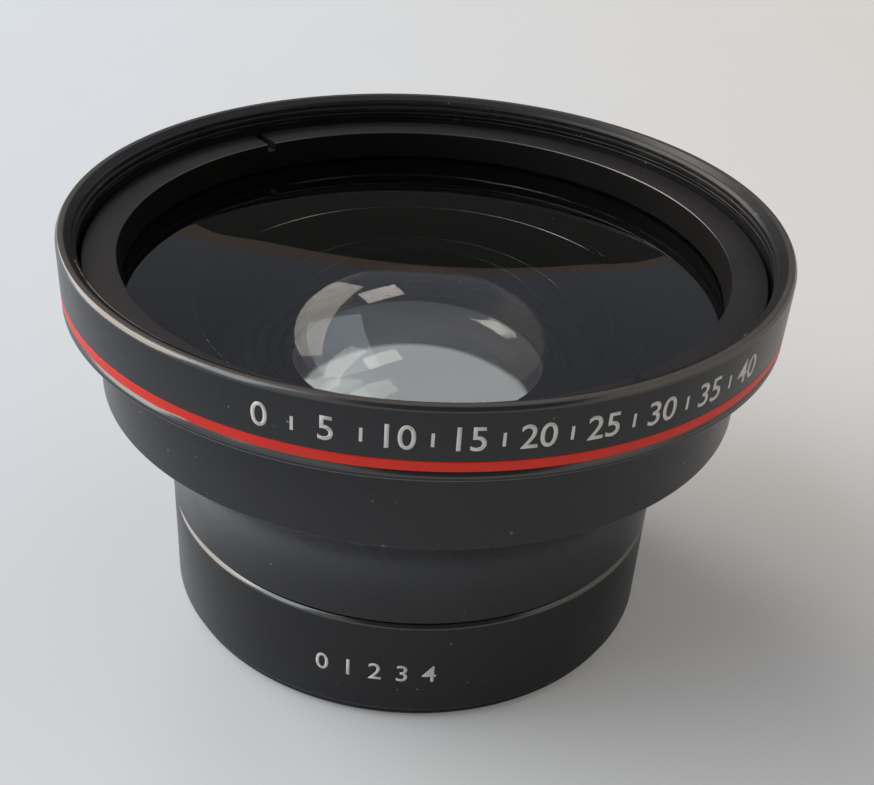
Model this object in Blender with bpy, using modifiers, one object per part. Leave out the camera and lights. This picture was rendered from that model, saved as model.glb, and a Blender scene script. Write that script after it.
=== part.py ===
"""Wide-angle conversion lens with a screw-on macro section, standing on its macro end.

Metres, +Z up along the optical axis. The origin is the centre of the rear thread's end
face, which is the face that the lens stands on. The macro section stays put, and the
wide section unscrews upwards from it.
"""

import math

import bmesh
import bpy
from mathutils import Matrix

COLLECTION_NAME = "wide_angle_conversion_lens"
CUTTER_COLLECTION_NAME = "cutters"

# Round pieces share one division of the circle, so that their facets lie in line.
SEGMENTS = 48
SHARP_ANGLE = math.radians(32)
CLEARANCE = 0.0003

# Threads. Only their cylinders are modelled, apart from the open filter thread.
MOUNT_THREAD_DIAMETER = 0.058
FILTER_THREAD_DIAMETER = 0.077
THREAD_PITCH = 0.00075
THREAD_DEPTH = 0.0004

# Macro section
SPIGOT_LENGTH = 0.0013
SPIGOT_WALL = 0.0027
SPIGOT_CHAMFER = 0.0004
MACRO_RING_WALL = 0.0005
MACRO_RING_HEIGHT = 0.01265
MACRO_RING_BOTTOM_CHAMFER = 0.0002
MACRO_RING_TOP_CHAMFER = 0.0004
MACRO_SOCKET_WALL = 0.0013
MACRO_SOCKET_DEPTH = 0.0036
MACRO_THROAT_DEPTH = 0.0019
MACRO_THROAT_FLARE = 0.0015
MACRO_SEAT_WIDTH = 0.0019
MACRO_SEAT_THICKNESS = 0.0012
MACRO_GLASS_EDGE = 0.0024
MACRO_GLASS_FRONT_SAG = 0.0040
MACRO_GLASS_REAR_SAG = 0.0008
MACRO_RETAINER_WIDTH = 0.0018
MACRO_RETAINER_THICKNESS = 0.0018

# Barrel of the wide section
COLLAR_WALL = 0.0053
COLLAR_CHAMFER = 0.0004
FOOT_CHAMFER = 0.0002
FLARE_HEIGHT = 0.0158
FLARE_STEP = 0.0006
BELL_EDGE_BEVEL = 0.0003
BELL_EXPOSED_HEIGHT = 0.01056
BELL_WALL = 0.0014
RELIEF_DEPTH = 0.00035
RELIEF_HEIGHT = 0.0009
RELIEF_OVERLAP = 0.0002
NECK_LENGTH = 0.00228
BAFFLE_STEPS = 5
BAFFLE_MARGIN = 0.0006

# Rear glasses of the wide section
REAR_STOP_HEIGHT = 0.0064
REAR_STOP_THICKNESS = 0.0010
REAR_STOP_WIDTH = 0.0032
CROWN_EDGE = 0.0020
CROWN_FRONT_SAG = 0.0026
CROWN_REAR_SAG = 0.0012
REAR_SPACER_THICKNESS = 0.0012
REAR_SPACER_WIDTH = 0.0018
FLINT_EDGE = 0.0027
FLINT_FRONT_SAG = 0.0009
REAR_RETAINER_WIDTH = 0.0020
REAR_RETAINER_THICKNESS = 0.0017

# Front ring, retaining ring and front glass
FRONT_RING_HEIGHT = 0.00789
FRONT_RING_WALL = 0.0017
FRONT_RING_LEDGE = 0.0011
LIP_CHAMFER_WIDTH = 0.0003
LIP_CHAMFER_HEIGHT = 0.0004
MOUTH_CHAMFER_WIDTH = 0.0008
MOUTH_CHAMFER_HEIGHT = 0.00045
LOWER_LIP_CHAMFER = 0.0002
STRIPE_HEIGHT = 0.0011
STRIPE_THICKNESS = 0.0004
STRIPE_FLOOR_HEIGHT = 0.0012
STRIPE_LEDGE_CHAMFER_WIDTH = 0.0004
STRIPE_LEDGE_CHAMFER_HEIGHT = 0.0003
FILTER_THREAD_RIDGES = 3
FRONT_RETAINER_FLANGE = 0.00175
FRONT_RETAINER_WIDTH = 0.0038
FRONT_RETAINER_TAPER = 0.00035
FRONT_RETAINER_NOSE = 0.0015
SEAT_WASHER_THICKNESS = 0.0004
FRONT_SEAT_OFFSET = 0.0002
FRONT_SEAT_WIDTH = 0.0093
FRONT_GLASS_CENTRE = 0.0025
FRONT_GLASS_SAG = 0.0005
FRONT_GLASS_CHAMFER = 0.0004

# Spanner slots, as the angle of the first one about +Z from +X
SLOT_WIDTH = 0.0011
SLOT_DEPTH = 0.0010
FRONT_SLOT_ANGLE = math.radians(127.3)
REAR_SLOT_ANGLE = math.radians(90)

# Radii of the mating surfaces
mount_radius = MOUNT_THREAD_DIAMETER / 2
macro_ring_radius = mount_radius + MACRO_RING_WALL
macro_socket_radius = macro_ring_radius - MACRO_SOCKET_WALL
macro_bore_radius = mount_radius - SPIGOT_WALL
macro_glass_radius = macro_bore_radius - CLEARANCE
macro_seat_radius = macro_bore_radius - MACRO_SEAT_WIDTH
collar_radius = macro_socket_radius - CLEARANCE
rear_bore_radius = collar_radius - COLLAR_WALL
rear_glass_radius = rear_bore_radius - CLEARANCE
rear_stop_radius = rear_glass_radius - REAR_STOP_WIDTH
filter_major_radius = FILTER_THREAD_DIAMETER / 2
filter_minor_radius = filter_major_radius - THREAD_DEPTH
front_ring_radius = filter_major_radius + FRONT_RING_WALL
neck_bore_radius = filter_minor_radius - FRONT_RING_LEDGE
bell_radius = neck_bore_radius - CLEARANCE
front_bore_radius = bell_radius - BELL_WALL
front_glass_radius = front_bore_radius - CLEARANCE
bowl_radius = front_glass_radius - FRONT_SEAT_WIDTH
front_retainer_radius = filter_minor_radius - CLEARANCE
aperture_radius = front_retainer_radius - FRONT_RETAINER_WIDTH

# Heights of the macro section, above the face it stands on
macro_top = SPIGOT_LENGTH + MACRO_RING_HEIGHT
macro_socket_floor = macro_top - MACRO_SOCKET_DEPTH
macro_seat_top = macro_socket_floor - MACRO_THROAT_DEPTH
macro_seat = macro_seat_top - MACRO_SEAT_THICKNESS
macro_glass_top = macro_seat - CLEARANCE
macro_glass_bottom = macro_glass_top - MACRO_GLASS_EDGE
macro_retainer_top = macro_glass_bottom - CLEARANCE

# Heights of the wide section, above the foot that seats on the macro ring
wide_foot = macro_top + CLEARANCE
collar_end = CLEARANCE - (wide_foot - macro_socket_floor)
rear_stop_top = REAR_STOP_HEIGHT + REAR_STOP_THICKNESS
crown_top = REAR_STOP_HEIGHT - CLEARANCE
crown_bottom = crown_top - CROWN_EDGE
rear_spacer_top = crown_bottom - CLEARANCE
flint_top = rear_spacer_top - REAR_SPACER_THICKNESS - CLEARANCE
flint_bottom = flint_top - FLINT_EDGE
rear_retainer_top = flint_bottom - CLEARANCE
front_seat = FLARE_HEIGHT + FRONT_SEAT_OFFSET
washer_bottom = front_seat + CLEARANCE
front_glass_bottom = washer_bottom + SEAT_WASHER_THICKNESS + CLEARANCE
front_ring_bottom = FLARE_HEIGHT + BELL_EXPOSED_HEIGHT
front_ring_top = front_ring_bottom + FRONT_RING_HEIGHT
neck_top = front_ring_bottom + NECK_LENGTH
front_ledge = neck_top + CLEARANCE
front_flange_bottom = front_ledge + CLEARANCE
front_flange_top = front_flange_bottom + FRONT_RETAINER_FLANGE
front_nose_bottom = front_flange_bottom - FRONT_RETAINER_NOSE
front_glass_top = front_nose_bottom - CLEARANCE

MATERIALS = {
    "anodised_black": ((0.018, 0.018, 0.020), 0.42, 0.0),
    "matt_black": ((0.010, 0.010, 0.010), 0.75, 0.0),
    "red_enamel": ((0.62, 0.035, 0.025), 0.35, 0.0),
    "coated_glass": ((0.10, 0.11, 0.14), 0.03, 0.0),
    "fibre_washer": ((0.03, 0.028, 0.026), 0.90, 0.0),
}


def clear_scene():
    """Remove every object that the file opened with."""
    for item in list(bpy.data.objects):
        bpy.data.objects.remove(item, do_unlink=True)


def new_collection(name):
    collection = bpy.data.collections.new(name)
    bpy.context.scene.collection.children.link(collection)
    return collection


def new_material(name):
    """A Principled material of its own, from the finish of that name."""
    colour, roughness, metallic = MATERIALS[name]
    material = bpy.data.materials.new(name)
    material.use_nodes = True
    shader = material.node_tree.nodes["Principled BSDF"]
    shader.inputs["Base Color"].default_value = (*colour, 1.0)
    shader.inputs["Roughness"].default_value = roughness
    shader.inputs["Metallic"].default_value = metallic
    material.diffuse_color = (*colour, 1.0)
    return material


def new_carrier(name, height, collection):
    """An empty on the screw's axis, which carries one section of the lens."""
    carrier = bpy.data.objects.new(name, None)
    carrier.location = (0.0, 0.0, height)
    collection.objects.link(carrier)
    return carrier


def spherical(rim_radius, rim_height, sag, points=6):
    """Points of a spherical cap from the axis out to its rim. A positive sag bulges up."""
    sphere_radius = (rim_radius**2 + sag**2) / (2 * abs(sag))
    rim_angle = math.asin(rim_radius / sphere_radius)
    sign = math.copysign(1.0, sag)
    curve = []
    for index in range(points):
        angle = rim_angle * index / (points - 1)
        rise = sphere_radius * (math.cos(angle) - math.cos(rim_angle))
        curve.append((sphere_radius * math.sin(angle), rim_height + sign * rise))
    return curve


def flare_curve(points=9):
    """The concave outside of the barrel, from the bell down to a vertical foot."""
    width = bell_radius - FLARE_STEP - macro_ring_radius
    rise = FLARE_HEIGHT - FOOT_CHAMFER
    arc_radius = (rise**2 + width**2) / (2 * width)
    top_angle = math.asin(rise / arc_radius)
    curve = []
    for index in range(points):
        angle = top_angle * (1 - index / (points - 1))
        radius = macro_ring_radius + arc_radius * (1 - math.cos(angle))
        curve.append((radius, FOOT_CHAMFER + arc_radius * math.sin(angle)))
    return curve


def baffle_steps():
    """Anti-glare steps inside the barrel, from the rear stop up to the front seat."""
    tread = (bowl_radius + BAFFLE_MARGIN - rear_stop_radius) / BAFFLE_STEPS
    riser = (front_seat - rear_stop_top) / BAFFLE_STEPS
    outline = []
    for index in range(BAFFLE_STEPS):
        radius = rear_stop_radius + tread * index
        height = rear_stop_top + riser * index
        outline.append((radius + tread, height))
        outline.append((radius + tread, height + riser))
    return outline


def filter_thread(mouth_height):
    """Ridges and grooves of the front bore, from the plain bore up to the mouth."""
    outline = []
    height = mouth_height - (FILTER_THREAD_RIDGES - 0.5) * THREAD_PITCH
    for _ in range(FILTER_THREAD_RIDGES):
        outline.append((filter_minor_radius, height))
        outline.append((filter_major_radius, height + THREAD_PITCH / 2))
        height += THREAD_PITCH
    return outline


def turned(name, outline, material_name, carrier, collection):
    """Turn a profile round Z. One that starts on the axis is a solid, any other a ring."""
    solid = outline[0][0] < CLEARANCE
    mesh = bpy.data.meshes.new(name)
    verts = [(radius, 0.0, height) for radius, height in outline]
    edges = [(index, index + 1) for index in range(len(verts) - 1)]
    if not solid:
        edges.append((len(verts) - 1, 0))
    mesh.from_pydata(verts, edges, [])
    piece = bpy.data.objects.new(name, mesh)
    collection.objects.link(piece)
    piece.data.materials.append(new_material(material_name))
    screw = piece.modifiers.new("turn", "SCREW")
    screw.axis = "Z"
    screw.angle = math.tau
    screw.steps = SEGMENTS
    screw.render_steps = SEGMENTS
    screw.use_merge_vertices = True
    screw.merge_threshold = 0.00001
    screw.use_smooth_shade = True
    piece.parent = carrier
    return piece


def slot_cutters(name, inner_radius, outer_radius, height, angle, carrier, collection):
    """Two opposite radial blocks, centred on the height of the face that they notch."""
    middle = (inner_radius + outer_radius) / 2
    length = (outer_radius - inner_radius) * 2
    cutters = []
    for index in range(2):
        mesh = bpy.data.meshes.new(f"{name}_{index + 1}")
        block = bmesh.new()
        bmesh.ops.create_cube(block, size=1.0)
        turn = Matrix.Rotation(angle + index * math.pi, 4, "Z")
        place = Matrix.Translation((middle, 0.0, height))
        scale = Matrix.Diagonal((length, SLOT_WIDTH, SLOT_DEPTH * 2, 1.0))
        bmesh.ops.transform(block, matrix=turn @ place @ scale, verts=block.verts)
        block.to_mesh(mesh)
        block.free()
        cutter = bpy.data.objects.new(mesh.name, mesh)
        cutter.hide_render = True
        cutter.display_type = "WIRE"
        cutter.parent = carrier
        collection.objects.link(cutter)
        cutters.append(cutter)
    return cutters


def cut(piece, cutters):
    """Subtract each cutter from the piece."""
    for cutter in cutters:
        boolean = piece.modifiers.new(cutter.name, "BOOLEAN")
        boolean.operation = "DIFFERENCE"
        boolean.solver = "EXACT"
        boolean.object = cutter


def shade(pieces):
    """Apply the modifiers, then shade smooth with crisp turned edges."""
    graph = bpy.context.evaluated_depsgraph_get()
    settled = [bpy.data.meshes.new_from_object(piece.evaluated_get(graph)) for piece in pieces]
    for piece, mesh in zip(pieces, settled):
        piece.modifiers.clear()
        piece.data = mesh
        mesh.name = piece.name
        mesh.shade_smooth()
        mesh.set_sharp_from_angle(angle=SHARP_ANGLE)


def make_macro_ring(carrier, parts):
    """Ring with the lens's rear male thread below and the socket for the barrel above."""
    throat = macro_seat_radius + MACRO_THROAT_FLARE
    outline = [
        (macro_socket_radius, macro_top),
        (macro_ring_radius - MACRO_RING_TOP_CHAMFER, macro_top),
        (macro_ring_radius, macro_top - MACRO_RING_TOP_CHAMFER),
        (macro_ring_radius, SPIGOT_LENGTH + MACRO_RING_BOTTOM_CHAMFER),
        (macro_ring_radius - MACRO_RING_BOTTOM_CHAMFER, SPIGOT_LENGTH),
        (mount_radius, SPIGOT_LENGTH),
        (mount_radius, SPIGOT_CHAMFER),
        (mount_radius - SPIGOT_CHAMFER, 0.0),
        (macro_bore_radius, 0.0),
        (macro_bore_radius, macro_seat),
        (macro_seat_radius, macro_seat),
        (macro_seat_radius, macro_seat_top),
        (throat, macro_socket_floor),
        (macro_socket_radius, macro_socket_floor),
    ]
    return turned("macro_ring", outline, "anodised_black", carrier, parts)


def make_macro_element(carrier, parts):
    """Close-up glass: a strong convex front and a weak concave rear."""
    land = macro_seat_radius - CLEARANCE
    front = spherical(land, macro_glass_top, MACRO_GLASS_FRONT_SAG)
    rear = spherical(land, macro_glass_bottom, MACRO_GLASS_REAR_SAG, points=5)
    rim = [(macro_glass_radius, macro_glass_top), (macro_glass_radius, macro_glass_bottom)]
    outline = front + rim + rear[::-1]
    return turned("macro_element", outline, "coated_glass", carrier, parts)


def make_retainer(name, radius, width, top, thickness, carrier, parts, cutters):
    """Plain threaded ring that holds a rear glass, with two spanner slots in its lower face."""
    bottom = top - thickness
    outline = [
        (radius - width, top),
        (radius, top),
        (radius, bottom),
        (radius - width, bottom),
    ]
    ring = turned(name, outline, "matt_black", carrier, parts)
    slots = slot_cutters(
        f"{name}_slot", radius - width, radius, bottom, REAR_SLOT_ANGLE, carrier, cutters
    )
    cut(ring, slots)
    return ring


def make_macro_retaining_ring(carrier, parts, cutters):
    """Threaded ring under the macro glass."""
    return make_retainer(
        "macro_retaining_ring",
        macro_glass_radius,
        MACRO_RETAINER_WIDTH,
        macro_retainer_top,
        MACRO_RETAINER_THICKNESS,
        carrier,
        parts,
        cutters,
    )


def make_main_barrel(carrier, parts):
    """One turned body: neck, bell, concave flare, rear collar and stepped inside."""
    flare = flare_curve()
    relief_top = front_ring_bottom + RELIEF_OVERLAP
    relief_bottom = relief_top - RELIEF_HEIGHT
    outline = [
        (front_bore_radius, neck_top),
        (bell_radius, neck_top),
        (bell_radius, relief_top),
        (bell_radius - RELIEF_DEPTH, relief_top),
        (bell_radius - RELIEF_DEPTH, relief_bottom),
        (bell_radius, relief_bottom),
        (bell_radius, FLARE_HEIGHT + BELL_EDGE_BEVEL),
        (bell_radius - BELL_EDGE_BEVEL, FLARE_HEIGHT),
    ]
    outline += flare
    outline += [
        (macro_ring_radius - FOOT_CHAMFER, 0.0),
        (collar_radius, 0.0),
        (collar_radius, collar_end + COLLAR_CHAMFER),
        (collar_radius - COLLAR_CHAMFER, collar_end),
        (rear_bore_radius, collar_end),
        (rear_bore_radius, REAR_STOP_HEIGHT),
        (rear_stop_radius, REAR_STOP_HEIGHT),
        (rear_stop_radius, rear_stop_top),
    ]
    outline += baffle_steps()
    outline.append((front_bore_radius, front_seat))
    return turned("main_barrel", outline, "anodised_black", carrier, parts)


def make_rear_crown_element(carrier, parts):
    """Biconvex glass that seats under the rear stop."""
    front = spherical(rear_stop_radius - CLEARANCE, crown_top, CROWN_FRONT_SAG)
    rear = spherical(
        rear_glass_radius - REAR_SPACER_WIDTH, crown_bottom, -CROWN_REAR_SAG, points=5
    )
    rim = [(rear_glass_radius, crown_top), (rear_glass_radius, crown_bottom)]
    outline = front + rim + rear[::-1]
    return turned("rear_crown_element", outline, "coated_glass", carrier, parts)


def make_rear_spacer_ring(carrier, parts):
    """Thin ring that keeps the two rear glasses apart."""
    inner = rear_glass_radius - REAR_SPACER_WIDTH
    bottom = rear_spacer_top - REAR_SPACER_THICKNESS
    outline = [
        (inner, rear_spacer_top),
        (rear_glass_radius, rear_spacer_top),
        (rear_glass_radius, bottom),
        (inner, bottom),
    ]
    return turned("rear_spacer_ring", outline, "matt_black", carrier, parts)


def make_rear_flint_element(carrier, parts):
    """Plano-concave glass, hollow side up."""
    rim_radius = rear_glass_radius - REAR_SPACER_WIDTH
    outline = spherical(rim_radius, flint_top, -FLINT_FRONT_SAG)
    outline += [
        (rear_glass_radius, flint_top),
        (rear_glass_radius, flint_bottom),
        (0.0, flint_bottom),
    ]
    return turned("rear_flint_element", outline, "coated_glass", carrier, parts)


def make_rear_retaining_ring(carrier, parts, cutters):
    """Threaded ring under the rear glasses of the wide section."""
    return make_retainer(
        "rear_retaining_ring",
        rear_glass_radius,
        REAR_RETAINER_WIDTH,
        rear_retainer_top,
        REAR_RETAINER_THICKNESS,
        carrier,
        parts,
        cutters,
    )


def make_front_seat_washer(carrier, parts):
    """Thin washer between the heavy front glass and its seat in the barrel."""
    top = washer_bottom + SEAT_WASHER_THICKNESS
    inner = bowl_radius + BAFFLE_MARGIN
    outline = [
        (inner, top),
        (front_glass_radius, top),
        (front_glass_radius, washer_bottom),
        (inner, washer_bottom),
    ]
    return turned("front_seat_washer", outline, "fibre_washer", carrier, parts)


def make_front_element(carrier, parts):
    """Large negative glass: a nearly flat front and a deep bowl behind."""
    rim_radius = aperture_radius - FRONT_RETAINER_TAPER
    front = spherical(rim_radius, front_glass_top, FRONT_GLASS_SAG, points=4)
    bowl_depth = front_glass_top + FRONT_GLASS_SAG - FRONT_GLASS_CENTRE - front_glass_bottom
    bowl = spherical(bowl_radius, front_glass_bottom, bowl_depth, points=9)
    outline = front + [
        (front_glass_radius - FRONT_GLASS_CHAMFER, front_glass_top),
        (front_glass_radius, front_glass_top - FRONT_GLASS_CHAMFER),
        (front_glass_radius, front_glass_bottom + FRONT_GLASS_CHAMFER),
        (front_glass_radius - FRONT_GLASS_CHAMFER, front_glass_bottom),
    ]
    outline += bowl[::-1]
    return turned("front_element", outline, "coated_glass", carrier, parts)


def make_front_retaining_ring(carrier, parts, cutters):
    """Flat ring in the filter thread, whose nose presses the front glass home."""
    nose_radius = front_bore_radius - CLEARANCE
    outline = [
        (aperture_radius, front_flange_top),
        (front_retainer_radius, front_flange_top),
        (front_retainer_radius, front_flange_bottom),
        (nose_radius, front_flange_bottom),
        (nose_radius, front_nose_bottom),
        (aperture_radius - FRONT_RETAINER_TAPER, front_nose_bottom),
    ]
    ring = turned("front_retaining_ring", outline, "matt_black", carrier, parts)
    slots = slot_cutters(
        "front_retaining_ring_slot",
        aperture_radius,
        front_retainer_radius,
        front_flange_top,
        FRONT_SLOT_ANGLE,
        carrier,
        cutters,
    )
    cut(ring, slots)
    return ring


def make_front_ring(carrier, parts):
    """Outer ring with the filter thread in its mouth and the groove of the red stripe."""
    groove_floor = front_ring_radius - STRIPE_THICKNESS - CLEARANCE
    groove_bottom = front_ring_bottom + STRIPE_FLOOR_HEIGHT - CLEARANCE
    groove_top = groove_bottom + STRIPE_HEIGHT + 2 * CLEARANCE
    mouth_radius = filter_major_radius + MOUTH_CHAMFER_WIDTH
    mouth_height = front_ring_top - MOUTH_CHAMFER_HEIGHT
    outline = [
        (mouth_radius, front_ring_top),
        (front_ring_radius - LIP_CHAMFER_WIDTH, front_ring_top),
        (front_ring_radius, front_ring_top - LIP_CHAMFER_HEIGHT),
        (front_ring_radius, groove_top),
        (groove_floor, groove_top),
        (groove_floor, groove_bottom),
        (front_ring_radius - STRIPE_LEDGE_CHAMFER_WIDTH, groove_bottom),
        (front_ring_radius, groove_bottom - STRIPE_LEDGE_CHAMFER_HEIGHT),
        (front_ring_radius, front_ring_bottom + LOWER_LIP_CHAMFER),
        (front_ring_radius - LOWER_LIP_CHAMFER, front_ring_bottom),
        (neck_bore_radius, front_ring_bottom),
        (neck_bore_radius, front_ledge),
        (filter_minor_radius, front_ledge),
    ]
    outline += filter_thread(mouth_height)
    return turned("front_ring", outline, "anodised_black", carrier, parts)


def make_red_stripe(carrier, parts):
    """Red enamel that fills the groove round the front ring."""
    bottom = front_ring_bottom + STRIPE_FLOOR_HEIGHT
    top = bottom + STRIPE_HEIGHT
    inner = front_ring_radius - STRIPE_THICKNESS
    outline = [
        (inner, top),
        (front_ring_radius, top),
        (front_ring_radius, bottom),
        (inner, bottom),
    ]
    return turned("red_stripe", outline, "red_enamel", carrier, parts)


def main():
    clear_scene()
    parts = new_collection(COLLECTION_NAME)
    cutters = new_collection(CUTTER_COLLECTION_NAME)
    macro = new_carrier("macro_section", 0.0, parts)
    wide = new_carrier("wide_section", wide_foot, parts)
    pieces = [
        make_macro_ring(macro, parts),
        make_macro_element(macro, parts),
        make_macro_retaining_ring(macro, parts, cutters),
        make_main_barrel(wide, parts),
        make_rear_crown_element(wide, parts),
        make_rear_spacer_ring(wide, parts),
        make_rear_flint_element(wide, parts),
        make_rear_retaining_ring(wide, parts, cutters),
        make_front_seat_washer(wide, parts),
        make_front_element(wide, parts),
        make_front_retaining_ring(wide, parts, cutters),
        make_front_ring(wide, parts),
        make_red_stripe(wide, parts),
    ]
    shade(pieces)


main()
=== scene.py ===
"""Wide-angle conversion lens with a macro section: its fine surfaces, finishes, marks and stage."""
import cmath
import math

import bmesh
import bpy
from bpy.props import FloatProperty, FloatVectorProperty, IntProperty, PointerProperty
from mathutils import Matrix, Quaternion, Vector


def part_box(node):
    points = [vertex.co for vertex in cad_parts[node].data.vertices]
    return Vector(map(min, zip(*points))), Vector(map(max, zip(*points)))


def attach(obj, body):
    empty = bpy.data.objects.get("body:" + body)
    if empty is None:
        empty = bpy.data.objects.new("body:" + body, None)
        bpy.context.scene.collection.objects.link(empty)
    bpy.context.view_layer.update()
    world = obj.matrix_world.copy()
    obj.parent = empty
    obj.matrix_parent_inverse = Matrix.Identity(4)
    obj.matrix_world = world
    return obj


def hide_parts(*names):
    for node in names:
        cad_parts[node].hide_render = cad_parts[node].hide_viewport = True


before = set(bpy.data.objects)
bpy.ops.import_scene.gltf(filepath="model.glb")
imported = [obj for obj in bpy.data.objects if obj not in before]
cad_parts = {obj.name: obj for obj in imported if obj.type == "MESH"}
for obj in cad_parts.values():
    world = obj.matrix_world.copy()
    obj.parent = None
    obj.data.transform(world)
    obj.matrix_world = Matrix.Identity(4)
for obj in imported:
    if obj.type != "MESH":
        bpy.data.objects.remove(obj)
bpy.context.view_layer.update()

bl_info = {
    "name": "Wide-angle conversion lens",
    "version": (1, 0, 0),
    "blender": (4, 5, 0),
    "location": "View3D > Sidebar > Conversion lens",
    "description": "Builds the fine surfaces, finishes and stage of a wide-angle conversion lens",
    "category": "Object",
}

# A point nearer to the axis or the section plane than this lies on it.
TOUCH = 2e-6
# A bend between these angles is a step of an arc, and a sharper one is a real corner.
ARC_BEND = math.radians(0.02)
CORNER_BEND = math.radians(20)
# Points put into each step of an arc, and points on each eased corner.
ARC_SPLITS = 4
CORNER_POINTS = 5
# The most of an outline's step that an eased corner may take.
CORNER_SHARE = 0.4
SHARP_EDGE = math.radians(35)
# A thread's ridge, from its middle outwards, as parts of half a turn and of the ridge's height.
RIDGE_PROFILE = ((0.34, 1.0), (0.50, 0.82), (0.72, 0.0))
# How far the normal of a chamfer or eased corner points up or down.
EDGE_SLOPE = (0.2, 0.98)

# The mirrored wall's top edge, as height over distance: its middle, and its fall to the sides.
WALL_TOP = 0.497
WALL_BOW = 0.954
SHELF_HEIGHT = 0.022

# What the brown strip on that edge gains in width from left to right, and between which sides.
SHELF_GAIN = 0.012
SHELF_SIDES = (-0.3, 0.1)
# The least depth that heights and sides are divided by, so that what lies in front stays out.
LEAST_DEPTH = 0.01
# Heights between which the walls give way to the ceiling.
CEILING_EDGE = (0.12, 0.36)
# Other parts of the room: the direction of each, and how near to it the part starts and is full.
ROOM_PARTS = {
    "warm_side": ((0.8, -0.6, 0.0), -0.5, 0.8),
    "back_ceiling": ((0.0, 0.8, 0.6), 0.72, 0.86),
    "far_wall": ((-0.75, 0.66, 0.0), 0.80, 0.93),
    "right_wall": ((0.84, 0.54, 0.0), 0.75, 0.93),
    "shade": ((0.21, -0.58, 0.79), 0.80, 0.91),
}
# The lamps: place, width and height, and colour. All of them face one point of the lens.
LAMPS = {
    "window": ((-3.12, 1.02, 1.58), (4.2, 2.5), (1.0, 0.88, 0.76)),
    "sky": ((-2.46, -0.60, 2.84), (3.0, 2.3), (0.76, 0.89, 1.0)),
    "far window": ((-1.16, 2.04, 2.84), (1.2, 0.8), (1.0, 0.90, 0.80)),
}
LAMP_TARGET = (0, 0, 0.03)

# The floor's width, and how far it lies below the lens so that no two faces share a plane.
FLOOR_WIDTH = 6.0
FLOOR_DROP = 0.00005
# Distance from the axis at which the floor reaches its cool and warm colours. These are
# painted light: cool and paler at the left, where the window light falls, warmer and darker at
# the right.
FLOOR_REACH = 0.15
# Distances between which the floor darkens towards the lamps.
FAR_FLOOR = (0.6, 2.2)
# How much the paper's fibres darken it.
PAPER_GRAIN = 0.03
# Width of the soft edge of the lit patch under the lens.
PATCH_EDGE = 0.001

# Widest gap round a piece of the solids that stands for contact, and what is left of it here.
CLEARANCE = 0.0004
FIT = 0.00001

# Width of the ground rim of a glass that is painted black.
EDGE_BAND = 0.0002
# How nearly straight down the normal of a glass's flat back points.
FLAT = 0.999

# How far past the seat washer's rim, and short of the macro ring's skin, the inner paint goes.
BORE_MARGIN = 0.0009

# The darkest and palest tone of the anodised black as parts of its colour, how its roughness
# changes with the tone, and what paint in a bore adds to it.
TONES = (0.75, 1.35)
TONE_ROUGHNESS = 0.12
BORE_ROUGHNESS = 0.35
# Dust on metal and on glass: its colour, and how far a speck covers metal and roughens glass.
METAL_DUST = (0.5, 0.5, 0.5)
METAL_DUST_COVER = 0.35
GLASS_DUST = (0.6, 0.6, 0.6)
GLASS_DUST_ROUGHNESS = 0.3
# How much rarer large specks are than small ones, and how sharply a worn spot ends.
SPECK_RARITY = 10.0
SPOT_CONTRAST = 8.0
# The red stripe's chips: their angles from the front in degrees and their heights, how far they
# reach to each side in degrees, and their colour.
CHIPS = ((-33.0, 0.00035), (-15.0, 0.00012))
CHIP_SPREAD = 6.0
CHIP_COLOUR = (0.90, 0.80, 0.72)

# Height of a numeral as a part of its font's size, and steps in each curve of its outline.
NUMERAL_PART = 0.73
NUMERAL_STEPS = 6
# The band's numerals: how many, the step in value, their middle below the lip, the first one's
# angle from the front and the angle between them in degrees, and a line's height as a part of a
# numeral's.
BAND_COUNT = 9
BAND_VALUE = 5
BAND_DROP = 0.0033
BAND_START = -20
BAND_STEP = 9
LINE_PART = 0.55
# The macro ring's numerals: how many, their middle's height, the first one's angle and the step.
MACRO_COUNT = 5
MACRO_MIDDLE = 0.00685
MACRO_START = -17
MACRO_STEP = 5.9


class TurningSettings(bpy.types.PropertyGroup):
    """How finely the turned pieces are made."""

    segments: IntProperty(
        name="Segments", description="Flat steps round each turned piece", default=288, min=48)
    corner: FloatProperty(
        name="Corner", description="Length of metal that each corner loses to its rounding",
        default=0.00013, unit="LENGTH")
    glass_corner: FloatProperty(
        name="Glass corner", description="Rounding of the ground edges of the glasses",
        default=0.00004, unit="LENGTH")
    slot_width: FloatProperty(
        name="Slot width", description="Width of the spanner slots", default=0.0011, unit="LENGTH")
    slot_depth: FloatProperty(
        name="Slot depth", description="Depth of the spanner slots", default=0.0010, unit="LENGTH")
    front_slot_angle: FloatProperty(
        name="Front slot angle",
        description="Direction of the front ring's slots, from +X towards +Y",
        default=math.radians(127.3), subtype="ANGLE")
    rear_slot_angle: FloatProperty(
        name="Rear slot angle",
        description="Direction of the hidden rings' slots, from +X towards +Y",
        default=math.radians(90), subtype="ANGLE")


class ThreadSettings(bpy.types.PropertyGroup):
    """The filter thread in the mouth, which the solid carries as plain rings."""

    pitch: FloatProperty(
        name="Pitch", description="Height of one turn", default=0.00075, unit="LENGTH")
    depth: FloatProperty(
        name="Depth", description="Height of a ridge above its root", default=0.0004, unit="LENGTH")
    filter_turns: FloatProperty(
        name="Filter thread turns", description="Turns of the thread in the mouth", default=3.3)
    steps: IntProperty(
        name="Steps", description="Rows of faces in one turn of thread", default=24, min=4)


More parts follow.
